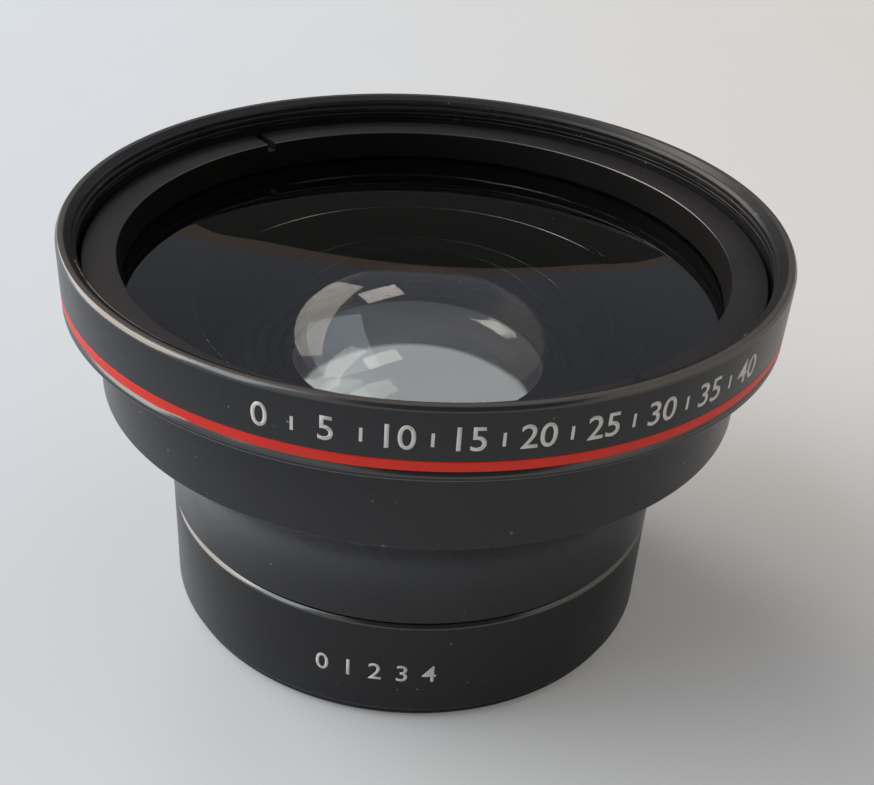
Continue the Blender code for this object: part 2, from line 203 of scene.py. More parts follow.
class MarkSettings(bpy.types.PropertyGroup):
    """The plain numerals and lines painted on the rings."""

    band_height: FloatProperty(
        name="Band numeral height", description="Height of the numerals on the front ring",
        default=0.0026, unit="LENGTH")
    macro_height: FloatProperty(
        name="Macro numeral height", description="Height of the numerals on the macro ring",
        default=0.0024, unit="LENGTH")
    stroke: FloatProperty(
        name="Stroke", description="Width of a painted line", default=0.00030, unit="LENGTH")
    thickening: FloatProperty(
        name="Thickening", description="Width that the numerals' outlines gain on each side",
        default=0.000025, unit="LENGTH")
    paint: FloatProperty(
        name="Paint", description="Thickness of the paint that stands on the metal",
        default=0.000012, unit="LENGTH")
    colour: FloatVectorProperty(
        name="Paint colour", description="Colour of the numerals", default=(0.92, 0.90, 0.85),
        subtype="COLOR")


class FinishSettings(bpy.types.PropertyGroup):
    """Colours of the finishes."""

    anodised: FloatVectorProperty(
        name="Anodised black", description="Satin black of the barrel and rings",
        default=(0.019, 0.019, 0.021), subtype="COLOR")
    matt: FloatVectorProperty(
        name="Matt black", description="Matt black of the inner rings",
        default=(0.020, 0.018, 0.019), subtype="COLOR")
    enamel: FloatVectorProperty(
        name="Red enamel", description="Red of the stripe", default=(0.93, 0.034, 0.014),
        subtype="COLOR")
    inside: FloatVectorProperty(
        name="Inside", description="Dead black paint inside the barrel",
        default=(0.004, 0.004, 0.004), subtype="COLOR")
    # Tan of worn edges. The edges that get it are centred on the lit left, so it is also a painted
    # highlight.
    bare_metal: FloatVectorProperty(
        name="Bare metal and highlight", description="Metal that shows where the finish is worn off",
        default=(0.55, 0.49, 0.40), subtype="COLOR")
    worn_lip: FloatVectorProperty(
        name="Worn lip", description="Brown of the lip's flat, where the black has worn thin",
        default=(0.085, 0.074, 0.066), subtype="COLOR")
    fibre: FloatVectorProperty(
        name="Fibre", description="Black fibre of the seat washer", default=(0.02, 0.019, 0.018),
        subtype="COLOR")
    glass: FloatVectorProperty(
        name="Glass", description="Tint of the coated glass", default=(0.93, 0.95, 0.95),
        subtype="COLOR")
    glass_index: FloatProperty(
        name="Refractive index", description="Refractive index of the glasses", default=1.6)


class StageSettings(bpy.types.PropertyGroup):
    """The camera, floor and lights."""

    camera_back: FloatProperty(
        name="Camera distance", description="Distance in front of the axis", default=0.1336,
        unit="LENGTH")
    camera_height: FloatProperty(
        name="Camera height", description="Height above the floor", default=0.10715, unit="LENGTH")
    camera_tilt: FloatProperty(
        name="Camera tilt", description="Downward tilt", default=math.radians(34.98),
        subtype="ANGLE")
    camera_turn: FloatProperty(
        name="Camera turn", description="Turn to the left", default=math.radians(1.40),
        subtype="ANGLE")
    camera_roll: FloatProperty(
        name="Camera roll", description="Roll to the left", default=math.radians(2.62),
        subtype="ANGLE")
    camera_lens: FloatProperty(
        name="Lens", description="Focal length in millimetres on a 36 mm frame", default=53.16)
    camera_shift: FloatVectorProperty(
        name="Shift",
        description="The photograph is a crop, so its centre of view is off its middle",
        default=(0.0595, 0.0887), size=2)
    # Painted light on the floor: cool and paler at the left, warmer and darker at the right.
    cool_floor: FloatVectorProperty(
        name="Cool floor", description="Colour of the floor at the left",
        default=(0.72, 0.80, 0.90), subtype="COLOR")
    far_floor: FloatVectorProperty(
        name="Far floor", description="Colour of the floor near the lamps",
        default=(0.26, 0.30, 0.36), subtype="COLOR")
    warm_floor: FloatVectorProperty(
        name="Warm floor", description="Colour of the floor at the right",
        default=(0.745, 0.735, 0.715), subtype="COLOR")
    floor_glow: FloatVectorProperty(
        name="Floor glow", description="Light that the floor adds to what the camera sees of it",
        default=(0.095, 0.090, 0.084), subtype="COLOR")
    horizon: FloatVectorProperty(
        name="Backdrop", description="Colour seen past the floor", default=(0.66, 0.69, 0.74),
        subtype="COLOR")
    ceiling: FloatVectorProperty(
        name="Cool room light", description="Colour of the soft light from above and behind",
        default=(0.46, 0.46, 0.48), subtype="COLOR")
    back_ceiling: FloatVectorProperty(
        name="Back ceiling", description="Colour of the dim ceiling that the front glass mirrors",
        default=(0.22, 0.23, 0.265), subtype="COLOR")
    warm_side: FloatVectorProperty(
        name="Warm room light", description="Colour of the soft light from the right and the front",
        default=(0.52, 0.47, 0.40), subtype="COLOR")
    wall: FloatVectorProperty(
        name="Wall", description="Colour of the walls at the sides", default=(0.20, 0.19, 0.18),
        subtype="COLOR")
    far_wall: FloatVectorProperty(
        name="Far wall", description="Colour of the bright wall behind the lens at the left",
        default=(0.80, 0.85, 0.92), subtype="COLOR", soft_max=2)
    right_wall: FloatVectorProperty(
        name="Right wall", description="Colour of the warm bright wall at the right",
        default=(0.50, 0.44, 0.37), subtype="COLOR", soft_max=2)
    dark_wall: FloatVectorProperty(
        name="Dark wall", description="Colour of the dark wall that the front glass mirrors",
        default=(0.055, 0.055, 0.052), subtype="COLOR")
    shelf: FloatVectorProperty(
        name="Shelf", description="Colour of the brown strip along the top of the dark wall",
        default=(0.26, 0.21, 0.175), subtype="COLOR")
    shade: FloatVectorProperty(
        name="Shade", description="Colour of the dark shape in front, behind the camera",
        default=(0.05, 0.05, 0.05), subtype="COLOR")
    # Painted light and painted shade: the floor glows with these colours to rays that come through
    # the glasses.
    patch: FloatVectorProperty(
        name="Lit patch", description="Colour of the floor that is lit through the glasses",
        default=(0.47, 0.46, 0.46), subtype="COLOR")
    patch_shade: FloatVectorProperty(
        name="Patch shade", description="Colour of the floor under the lens round the lit patch",
        default=(0.045, 0.040, 0.040), subtype="COLOR")
    patch_centre: FloatVectorProperty(
        name="Patch centre", description="Middle of the lit patch", default=(0, -0.010, 0), size=3,
        unit="LENGTH")
    patch_radius: FloatProperty(
        name="Patch radius", description="Radius of the lit patch", default=0.018, unit="LENGTH")
    window_power: FloatProperty(
        name="Window", description="Power of the wide warm window light in watts", default=102.0)
    sky_power: FloatProperty(
        name="Sky", description="Power of the cool light from the upper left in watts",
        default=42.0)
    lamp_power: FloatProperty(
        name="Far window", description="Power of the small light behind the lens in watts",
        default=15.0)


def section_of(node):
    """The outline of a turned solid in the +X half plane, in order, as radius + height * 1j."""
    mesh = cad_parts[node].data
    joins = {}
    for edge in mesh.edges:
        ends = [mesh.vertices[index].co for index in edge.vertices]
        if any(abs(end.y) > TOUCH or end.x < -TOUCH for end in ends):
            continue
        first, last = [complex(round(end.x, 7), round(end.z, 7)) for end in ends]
        if first != last:
            joins.setdefault(first, set()).add(last)
            joins.setdefault(last, set()).add(first)
    if not joins:
        raise RuntimeError(f"{node} has no outline in the +X half plane")
    start = min(joins, key=lambda point: (len(joins[point]), point.real, point.imag))
    outline = [start]
    while True:
        onward = [point for point in joins[outline[-1]] if point not in outline]
        if not onward:
            return outline
        outline.append(min(onward, key=lambda point: (point.real, point.imag)))


def moved(outline, heights):
    """The outline with its points at some heights moved to others."""
    return [complex(point.real, next((new for old, new in heights if abs(point.imag - old) < TOUCH),
                                     point.imag)) for point in outline]


def is_closed(outline):
    """Whether an outline comes back to its start, and not from the axis to the axis."""
    return outline[0].real > TOUCH


def neighbour(outline, index):
    """A point of an outline, going on round a closed one and past the axis on an open one."""
    if is_closed(outline):
        return outline[index % len(outline)]
    if index < 0:
        return -outline[1].conjugate()
    if index >= len(outline):
        return -outline[-2].conjugate()
    return outline[index]


def bend_at(outline, index):
    """How far an outline turns at a point, to the left."""
    here = neighbour(outline, index)
    before = here - neighbour(outline, index - 1)
    after = neighbour(outline, index + 1) - here
    return cmath.phase(after / before)


def curvature_at(outline, index):
    """The curvature at a point that lies on an arc, or None at a corner or on a straight line."""
    bend = bend_at(outline, index)
    if not ARC_BEND < abs(bend) < CORNER_BEND:
        return None
    here = neighbour(outline, index)
    reach = abs(here - neighbour(outline, index - 1)) + abs(neighbour(outline, index + 1) - here)
    return 2 * bend / reach


def refined(outline, corner):
    """The outline with its arcs in finer steps and its corners eased."""
    points = []
    steps = len(outline) if is_closed(outline) else len(outline) - 1
    for index, here in enumerate(outline):
        before = neighbour(outline, index - 1) - here
        after = neighbour(outline, index + 1) - here
        if abs(bend_at(outline, index)) > CORNER_BEND:
            cut = min(corner, CORNER_SHARE * abs(before), CORNER_SHARE * abs(after))
            first = here + before / abs(before) * cut
            last = here + after / abs(after) * cut
            for count in range(CORNER_POINTS):
                part = count / (CORNER_POINTS - 1)
                points.append(first * (1 - part) ** 2 + 2 * here * part * (1 - part)
                              + last * part ** 2)
        else:
            points.append(here)
        if index == steps:
            break
        bends = [value for value in (curvature_at(outline, index), curvature_at(outline, index + 1))
                 if value is not None]
        if bends:
            bow = -0.5j * sum(bends) / len(bends) * after * abs(after)
            for count in range(1, ARC_SPLITS):
                part = count / ARC_SPLITS
                points.append(here + after * part + bow * part * (1 - part))
    return points


def add_object(name, data):
    """A new object in the scene."""
    made = bpy.data.objects.new(name, data)
    bpy.context.scene.collection.objects.link(made)
    return made


def turned(name, outline, corner=None, shape=None):
    """A piece turned from an outline; shape may move a point of it at each angle round the axis."""
    settings = bpy.context.scene.lens_turning
    points = refined(outline, settings.corner if corner is None else corner)
    closed = is_closed(outline)
    angles = [math.tau * count / settings.segments for count in range(settings.segments)]
    vertices, rows = [], []
    for point in points:
        if point.real < TOUCH:
            rows.append([len(vertices)] * settings.segments)
            vertices.append((0, 0, point.imag))
            continue
        rows.append(range(len(vertices), len(vertices) + settings.segments))
        for angle in angles:
            place = shape(point, angle) if shape else point
            vertices.append((place.real * math.cos(angle), place.real * math.sin(angle),
                             place.imag))
    faces = []
    for index in range(len(rows) if closed else len(rows) - 1):
        low, high = rows[index], rows[(index + 1) % len(rows)]
        for count in range(settings.segments):
            onward = (count + 1) % settings.segments
            loop = dict.fromkeys((low[count], low[onward], high[onward], high[count]))
            faces.append(tuple(loop))
    mesh = bpy.data.meshes.new(name)
    mesh.from_pydata(vertices, [], faces)
    face_outwards(mesh)
    shade(mesh)
    return add_object(name, mesh)


def face_outwards(mesh):
    """Points every face of a closed mesh outwards."""
    solid = bmesh.new()
    solid.from_mesh(mesh)
    bmesh.ops.recalc_face_normals(solid, faces=solid.faces)
    solid.to_mesh(mesh)
    solid.free()


def shade(mesh):
    """Smooth shading that stays crisp at real edges."""
    mesh.shade_smooth()
    mesh.set_sharp_from_angle(angle=SHARP_EDGE)


def ridge(place):
    """A thread's ridge across one turn: 0 at the root and 1 on the crest, with broken edges."""
    away = abs(2 * (place % 1) - 1)
    for (near, high), (far, low) in zip(RIDGE_PROFILE, RIDGE_PROFILE[1:]):
        if away < far:
            return high + (low - high) * max(away - near, 0) / (far - near)
    return 0


def threaded(outline, low, high, radius, crest):
    """Puts a thread between two heights of a cylinder of an outline.

    radius is the thread's root and crest the radius of its ridges. Returns the outline with rows
    for the thread, and the function that gives each row its radius at each angle."""
    settings = bpy.context.scene.lens_thread
    reach = abs(radius - crest) + TOUCH
    rows = max(2, round((high - low) / settings.pitch * settings.steps))
    cut = [point for point in outline
           if low - TOUCH < point.imag < high + TOUCH and abs(point.real - radius) < reach]
    first = outline.index(cut[0])
    ring = outline[first:] + outline[:first]
    while ring[-1] in cut:
        ring.insert(0, ring.pop())
    rest = [point for point in ring if point not in cut]
    upward = neighbour(ring, len(cut)).imag > (low + high) / 2
    heights = [low + (high - low) * count / rows for count in range(rows + 1)]
    thread = [complex(radius, height) for height in (heights if upward else reversed(heights))]

    def shape(point, angle):
        if not low - TOUCH <= point.imag <= high + TOUCH or abs(point.real - radius) > TOUCH:
            return point
        fade = min(1, (point.imag - low) / settings.pitch, (high - point.imag) / settings.pitch)
        rise = ridge(point.imag / settings.pitch - angle / math.tau)
        return complex(radius + (crest - radius) * rise * max(fade, 0), point.imag)

    return thread + rest, shape


def cut_slots(piece, angle, level, inner, outer):
    """Cuts two opposite spanner slots into the flat side of a ring that lies at a height."""
    settings = bpy.context.scene.lens_turning
    for turn in (angle, angle + math.pi):
        cutter = bpy.data.meshes.new("slot")
        block = bmesh.new()
        bmesh.ops.create_cube(block, size=1)
        for corner in block.verts:
            corner.co = Vector((
                (inner + outer) / 2 + corner.co.x * (outer - inner + 2 * settings.slot_depth),
                corner.co.y * settings.slot_width,
                level + (corner.co.z * 2) * settings.slot_depth))
        bmesh.ops.rotate(block, cent=(0, 0, 0), matrix=Quaternion((0, 0, 1), turn).to_matrix(),
                         verts=block.verts)
        block.to_mesh(cutter)
        block.free()
        tool = add_object("slot", cutter)
        boolean = piece.modifiers.new("slot", "BOOLEAN")
        boolean.operation = "DIFFERENCE"
        boolean.solver = "EXACT"
        boolean.object = tool
        apply_modifiers(piece)
        bpy.data.objects.remove(tool)
        bpy.data.meshes.remove(cutter)
    shade(piece.data)


def apply_modifiers(piece):
    """Replaces a piece's mesh by the one that its modifiers make."""
    graph = bpy.context.evaluated_depsgraph_get()
    graph.update()
    made = bpy.data.meshes.new_from_object(piece.evaluated_get(graph))
    old = piece.data
    piece.modifiers.clear()
    piece.data = made
    bpy.data.meshes.remove(old)
    made.name = piece.name


def cover_faces(piece, material, chosen):
    """Gives a piece another material on the faces that chosen picks.

    chosen gets the distance of a face's middle from the axis, its height, and the rise of its
    normal."""
    piece.data.materials.append(material)
    last = len(piece.data.materials) - 1
    for face in piece.data.polygons:
        if chosen(math.hypot(face.center.x, face.center.y), face.center.z, face.normal.z):
            face.material_index = last


def polish_edges(piece, radius=0.0, upper_only=False):
    """Gives the sloping faces outside a radius the look of a freshly turned edge."""
    def sloping(reach, height, rise):
        slope = rise if upper_only else abs(rise)
        return reach > radius and EDGE_SLOPE[0] < slope < EDGE_SLOPE[1]
    cover_faces(piece, shared_material("turned_edge", polished_material), sloping)


def paint_bore(piece, radius):
    """Paints the inner wall of a ring, inside a radius, dead black."""
    cover_faces(piece, shared_material("edge_paint", edge_material),
                lambda reach, height, rise: reach < radius and abs(rise) < EDGE_SLOPE[0])


def finish_piece(piece, node, body, material):
    """Gives a piece its material and body, and lets it stand for its solid."""
    piece.data.materials.clear()
    piece.data.materials.append(material)
    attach(piece, body)
    if node:
        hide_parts(node)


def feed(tree, node, inputs):
    """Feeds a node's inputs with values or sockets."""
    for name, value in inputs.items():
        if isinstance(value, bpy.types.NodeSocket):
            tree.links.new(value, node.inputs[name])
        else:
            node.inputs[name].default_value = value


def add_node(tree, kind, inputs=None, **settings):
    """Adds a node, sets its properties and feeds its inputs."""
    made = tree.nodes.new(kind)
    for name, value in settings.items():
        setattr(made, name, value)
    feed(tree, made, inputs or {})
    return made


def calc(tree, operation, *values, clamp=False):
    """The result of a Math node."""
    return add_node(tree, "ShaderNodeMath", dict(enumerate(values)), operation=operation,
                    use_clamp=clamp).outputs[0]


def measure(tree, operation, *vectors):
    """The number that a Vector Math node makes of its vectors."""
    return add_node(tree, "ShaderNodeVectorMath", dict(enumerate(vectors)),
                    operation=operation).outputs["Value"]


def ramp(tree, value, low, high, kind="SMOOTHSTEP"):
    """How far a value has come from a lower limit to an upper one, from 0 to 1."""
    return add_node(tree, "ShaderNodeMapRange", {
        "Value": value, "From Min": low, "From Max": high}, interpolation_type=kind).outputs[0]


def noise(tree, place, scale, detail, roughness):
    """The value of a noise texture."""
    return add_node(tree, "ShaderNodeTexNoise", {
        "Vector": place, "Scale": scale, "Detail": detail, "Roughness": roughness}).outputs["Fac"]


def object_place(tree):
    """The place of a point in its object's own coordinates."""
    return add_node(tree, "ShaderNodeTexCoord").outputs["Object"]


def blend_colour(tree, mask, under, over):
    """One colour over another where the mask is 1."""
    made = add_node(tree, "ShaderNodeMix", data_type="RGBA")
    inputs = {socket.identifier: socket for socket in made.inputs}
    for name, value in (("Factor_Float", mask), ("A_Color", under), ("B_Color", over)):
        if isinstance(value, bpy.types.NodeSocket):
            tree.links.new(value, inputs[name])
        elif name == "Factor_Float":
            inputs[name].default_value = value
        else:
            inputs[name].default_value = (*value, 1)
    return next(socket for socket in made.outputs if socket.identifier == "Result_Color")


def scaled(colour, factor):
    """A colour made darker or lighter."""
    return tuple(factor * part for part in colour)


def label_of(name):
    """The label of a group's socket, which keywords here spell in lower case with underscores."""
    return name.replace("_", " ").capitalize()


def build_group(fill, inputs):
    """A node group with sockets for its inputs and for what fill makes of them."""
    group = bpy.data.node_groups.new(fill.__name__, "ShaderNodeTree")
    for name, value in inputs.items():
        socket = group.interface.new_socket(
            label_of(name), in_out="INPUT", socket_type="NodeSocketFloat")
        socket.default_value = value
    results = fill(group, group.nodes.new("NodeGroupInput").outputs)
    for label in results:
        group.interface.new_socket(label, in_out="OUTPUT", socket_type="NodeSocketFloat")
    feed(group, group.nodes.new("NodeGroupOutput"), results)
    return group


def effect(**inputs):
    """Makes a function that fills a node group into one that puts the group into a node tree.

    inputs are the group's inputs with their usual values. The new function takes the node tree
    and the inputs that differ, and returns the group's outputs. The group is built once."""
    def wrap(fill):
        def put(tree, **values):
            group = bpy.data.node_groups.get(fill.__name__) or build_group(fill, inputs)
            feeds = {label_of(name): value for name, value in values.items()}
            return add_node(tree, "ShaderNodeGroup", feeds, node_tree=group).outputs
        return put
    return wrap


@effect()
def turned_place(tree, start):
    """Where a point of a turned piece lies: angle from the front in degrees, radius and height."""
    axes = add_node(tree, "ShaderNodeSeparateXYZ", {"Vector": object_place(tree)}).outputs
    angle = calc(tree, "ARCTAN2", axes["X"], calc(tree, "MULTIPLY", axes["Y"], -1.0))
    squares = [calc(tree, "POWER", axes[name], 2.0) for name in "XY"]
    return {
        "Angle": calc(tree, "DEGREES", angle),
        "Radius": calc(tree, "SQRT", calc(tree, "ADD", *squares)),
        "Height": axes["Z"],
    }


@effect(fineness=9000.0, patch_scale=160.0)
def fine_grain(tree, start):
    """The even grain of a blasted and anodised surface, with slow changes of tone."""
    place = object_place(tree)
    return {
        "Height": noise(tree, place, start["Fineness"], detail=2.0, roughness=0.6),
        "Tone": noise(tree, place, start["Patch scale"], detail=4.0, roughness=0.55),
    }


@effect(fineness=9000.0, change_round=0.02)
def turning_marks(tree, start):
    """The fine grooves that a lathe tool leaves, which run round the axis."""
    place = turned_place(tree)
    path = calc(tree, "ADD", place["Radius"], place["Height"])
    across = calc(tree, "MULTIPLY", path, start["Fineness"])
    along = calc(tree, "MULTIPLY", place["Angle"], start["Change round"])
    where = add_node(tree, "ShaderNodeCombineXYZ", {"X": across, "Y": along}).outputs["Vector"]
    return {"Height": noise(tree, where, scale=1.0, detail=3.0, roughness=0.6)}


@effect(edge_height=0.0, width=0.0002, middle_angle=0.0, spread=60.0, fineness=900.0, amount=0.5)
def edge_wear(tree, start):
    """A mask of worn spots along an edge at one height, strongest round one angle. Some uses
    centre it on the lit side, where it also paints a highlight.
    """
    place = turned_place(tree)

    def nearness(part, middle, reach):
        away = calc(tree, "ABSOLUTE", calc(tree, "SUBTRACT", place[part], start[middle]))
        return calc(tree, "SUBTRACT", 1.0, calc(tree, "DIVIDE", away, start[reach]), clamp=True)

    near = nearness("Height", "Edge height", "Width")
    window = nearness("Angle", "Middle angle", "Spread")
    spots = noise(tree, object_place(tree), start["Fineness"], detail=5.0, roughness=0.7)
    worn = calc(tree, "ADD", calc(tree, "MULTIPLY", near, window),
                calc(tree, "SUBTRACT", spots, 0.5))
    cut = calc(tree, "SUBTRACT", worn, calc(tree, "SUBTRACT", 1.0, start["Amount"]))
    sharp = calc(tree, "MULTIPLY", cut, SPOT_CONTRAST, clamp=True)
    return {"Mask": calc(tree, "MULTIPLY", sharp, near)}


@effect(lower_radius=0.0, upper_radius=0.0, step_height=0.0)
def inner_wall(tree, start):
    """A mask of the wall inside the barrel, which is narrower below a step than above it."""
    place = turned_place(tree)
    above = calc(tree, "GREATER_THAN", place["Height"], start["Step height"])
    widening = calc(tree, "SUBTRACT", start["Upper radius"], start["Lower radius"])
    limit = calc(tree, "ADD", start["Lower radius"], calc(tree, "MULTIPLY", above, widening))
    return {"Mask": calc(tree, "LESS_THAN", place["Radius"], limit)}


@effect(fineness=900.0, amount=0.16)
def dust_specks(tree, start):
    """A mask of sparse dust specks and lint."""
    cells = add_node(tree, "ShaderNodeTexVoronoi", {
        "Vector": object_place(tree), "Scale": start["Fineness"]}).outputs
    chance = add_node(tree, "ShaderNodeSeparateColor", {"Color": cells["Color"]}).outputs["Red"]
    size = calc(tree, "POWER", chance, SPECK_RARITY)
    reach = calc(tree, "MULTIPLY", size, start["Amount"])
    return {"Mask": calc(tree, "LESS_THAN", cells["Distance"], reach)}


def new_material(name):
    """A material with an empty node tree, and its Principled shader."""
    material = bpy.data.materials.new(name)
    material.use_nodes = True
    tree = material.node_tree
    tree.nodes.clear()
    shader = tree.nodes.new("ShaderNodeBsdfPrincipled")
    output = tree.nodes.new("ShaderNodeOutputMaterial")
    tree.links.new(shader.outputs["BSDF"], output.inputs["Surface"])
    return material, tree, shader


def shared_material(name, make):
    """A material that several pieces have in common, made once."""
    return bpy.data.materials.get(name) or make(name)


def relief(tree, height, distance):
    """The normal of a surface that is bumped by a height."""
    return add_node(tree, "ShaderNodeBump", {
        "Height": height, "Distance": distance, "Strength": 1.0}).outputs["Normal"]


def anodised_material(name, colour, roughness, grain, marks, wear_and_glints=(), bore=None):
    """Black anodised aluminium: blasted grain, faint lathe marks, worn edges that partly stand
    for painted highlights, and specks of dust.

    grain and marks are how deep they are. wear_and_glints lists the worn edges, each as the colour
    that shows and the inputs of edge_wear; where an edge is centred on the lit side, its
    colour is also a painted highlight. bore gives the inputs of inner_wall, for an inner wall that
    is painted dead black."""
    material, tree, shader = new_material(name)
    blast = fine_grain(tree)
    lathe = turning_marks(tree)
    surface = blend_colour(tree, blast["Tone"], *[scaled(colour, part) for part in TONES])
    rough = calc(tree, "ADD", roughness - TONE_ROUGHNESS / 2,
                 calc(tree, "MULTIPLY", blast["Tone"], TONE_ROUGHNESS))
    for shown, inputs in wear_and_glints:
        surface = blend_colour(tree, edge_wear(tree, **inputs)["Mask"], surface, shown)
    specks = dust_specks(tree)["Mask"]
    surface = blend_colour(tree, calc(tree, "MULTIPLY", specks, METAL_DUST_COVER), surface,
                           METAL_DUST)
    if bore:
        wall = inner_wall(tree, **bore)["Mask"]
        surface = blend_colour(tree, wall, surface, bpy.context.scene.lens_finish.inside)
        rough = calc(tree, "ADD", rough, calc(tree, "MULTIPLY", wall, BORE_ROUGHNESS))
    height = calc(tree, "ADD", calc(tree, "MULTIPLY", blast["Height"], grain),
                  calc(tree, "MULTIPLY", lathe["Height"], marks))
    feed(tree, shader, {
        "Base Color": surface, "Roughness": rough, "Specular IOR Level": 0.42,
        "Normal": relief(tree, height, distance=0.00001)})
    return material


def polished_material(name):
    """The smooth glossy black of turned edges."""
    black = bpy.context.scene.lens_finish.anodised
    material, tree, shader = new_material(name)
    lathe = turning_marks(tree, fineness=6000.0)["Height"]
    feed(tree, shader, {
        "Base Color": blend_colour(tree, lathe, black, scaled(black, 1.6)),
        "Roughness": 0.16, "IOR": 1.75, "Specular IOR Level": 0.8,
        "Normal": relief(tree, lathe, distance=0.000002)})
    return material


def enamel_material():
    """Red enamel in its groove, chipped and rubbed along its lower edge at the left."""
    red = bpy.context.scene.lens_finish.enamel
    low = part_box("red_stripe")[0]
    material, tree, shader = new_material("red_enamel")
    tone = fine_grain(tree, patch_scale=300.0)["Tone"]
    surface = blend_colour(tree, tone, scaled(red, 0.82), red)
    for middle, width in CHIPS:
        worn = edge_wear(tree, edge_height=low.z, width=width, middle_angle=middle,
                         spread=CHIP_SPREAD, amount=0.55)["Mask"]
        surface = blend_colour(tree, worn, surface, CHIP_COLOUR)
    feed(tree, shader, {
        "Base Color": surface, "Roughness": 0.38, "Specular IOR Level": 0.35,
        "Normal": relief(tree, tone, distance=0.00002)})
    return material


def glass_material(name, dusty):
    """Polished optical glass, dusty where it is open to the air."""
    finish = bpy.context.scene.lens_finish
    material, tree, shader = new_material(name)
    colour, rough = (*finish.glass, 1.0), 0.0
    if dusty:
        specks = dust_specks(tree, fineness=700.0, amount=0.06)["Mask"]
        colour = blend_colour(tree, specks, finish.glass, GLASS_DUST)
        rough = calc(tree, "MULTIPLY", specks, GLASS_DUST_ROUGHNESS)
    feed(tree, shader, {
        "Base Color": colour, "Roughness": rough, "IOR": finish.glass_index,
        "Specular IOR Level": 0.25, "Transmission Weight": 1.0})
    return material


def grained_material(name, low, high, roughness, specular=0.5, mask="Tone", distance=0.00001,
                     **grain):
    """An even finish between two colours; grain gives the inputs of fine_grain."""
    material, tree, shader = new_material(name)
    blast = fine_grain(tree, **grain)
    feed(tree, shader, {
        "Base Color": blend_colour(tree, blast[mask], low, high),
        "Roughness": roughness, "Specular IOR Level": specular,
        "Normal": relief(tree, blast["Height"], distance)})
    return material


def edge_material(name):
    """Black paint on the ground edges of the glasses and in the bores of their rings."""
    black = bpy.context.scene.lens_finish.inside
    return grained_material(name, black, scaled(black, 2), roughness=0.8, specular=0.12,
                            fineness=5000.0)


def fibre_material():
    """Matt black fibre."""
    fibre = bpy.context.scene.lens_finish.fibre
    return grained_material("fibre_washer", scaled(fibre, 0.6), fibre, roughness=0.85,
                            mask="Height", distance=0.00003, fineness=4000.0)


def paint_material():
    """Off-white paint, greyer in patches."""
    paint = bpy.context.scene.lens_marks.colour
    return grained_material("mark_paint", scaled(paint, 0.72), paint, roughness=0.55,
                            fineness=2600.0, patch_scale=900.0)


def make_piece(node, body, material, corner=None):
    """A fine turned piece on a solid's own outline."""
    piece = turned("fine_" + node, section_of(node), corner)
    finish_piece(piece, node, body, material)
    return piece


class LENS_OT_front_ring(bpy.types.Operator):
    """Build the front ring with its filter thread"""

    bl_idname = "lens.front_ring"
    bl_label = "Front ring"

    def execute(self, context):
        thread = context.scene.lens_thread
        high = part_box("front_ring")[1]
        stripe_low, stripe_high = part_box("red_stripe")
        outline = section_of("front_ring")
        groove = sorted({point.imag for point in outline
                         if stripe_low.z - CLEARANCE < point.imag < stripe_high.z + CLEARANCE
                         and point.real < stripe_high.x - CLEARANCE / 2})
        outline = moved(outline, (
            (groove[0], stripe_low.z - FIT), (groove[-1], stripe_high.z + FIT)))
        crest = min(point.real for point in outline if point.imag > high.z - 3 * thread.pitch)
        root = crest + thread.depth
        mouth = max(point.imag for point in outline if abs(point.real - root) < TOUCH)
        floor = mouth - thread.filter_turns * thread.pitch
        outline, shape = threaded(outline, floor, mouth, root, crest)
        piece = turned("fine_front_ring", outline, shape=shape)
        finish = context.scene.lens_finish
        lip = dict(edge_height=high.z, width=0.00006, spread=400.0, amount=1.2)
        # Tan bare metal on the lip's outer chamfer, centred at the lit left: worn spots that also
        # serve as a painted highlight.
        chamfer = dict(edge_height=high.z - 0.0004, width=0.00012, middle_angle=-50.0,
                       spread=30.0, amount=0.6)
        material = anodised_material(
            "front_ring_black", finish.anodised, roughness=0.29, grain=0.35, marks=0.35,
            wear_and_glints=((finish.worn_lip, lip), (finish.bare_metal, chamfer)))
        finish_piece(piece, "front_ring", "wide_barrel", material)
        polish_edges(piece, stripe_high.x - CLEARANCE)
        return {"FINISHED"}


class LENS_OT_red_stripe(bpy.types.Operator):
    """Build the red stripe"""

    bl_idname = "lens.red_stripe"
    bl_label = "Red stripe"

    def execute(self, context):
        make_piece("red_stripe", "wide_barrel", enamel_material())
        return {"FINISHED"}


class LENS_OT_barrel(bpy.types.Operator):
    """Build the main barrel and the macro ring"""

    bl_idname = "lens.barrel"
    bl_label = "Barrel and macro ring"

    def execute(self, context):
        finish = context.scene.lens_finish
        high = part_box("macro_ring")[1]
        seat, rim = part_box("front_seat_washer")
        # Tan bare metal on the edge above the macro ring, centred at the lit left: worn spots that
        # also serve as a painted highlight.
        foot_wear_and_highlight = dict(edge_height=high.z + 0.0004, width=0.00014, middle_angle=-60.0, spread=35.0,
                    amount=0.62)
        bore = dict(lower_radius=high.x - BORE_MARGIN, upper_radius=rim.x + BORE_MARGIN,
                    step_height=seat.z - BORE_MARGIN / 2)
        satin = anodised_material(
            "barrel_black", finish.anodised, roughness=0.28, grain=0.5, marks=0.15,
            wear_and_glints=((finish.bare_metal, foot_wear_and_highlight),), bore=bore)
        # The macro ring's black is half as bright as the barrel's: painted shade that darkens the
        # low ring.
        macro = anodised_material(
            "macro_ring_black", scaled(finish.anodised, 0.5), roughness=0.28, grain=0.4,
            marks=0.25)
        make_piece("main_barrel", "wide_barrel", satin)
        polish_edges(make_piece("macro_ring", "macro_section", macro))
        return {"FINISHED"}


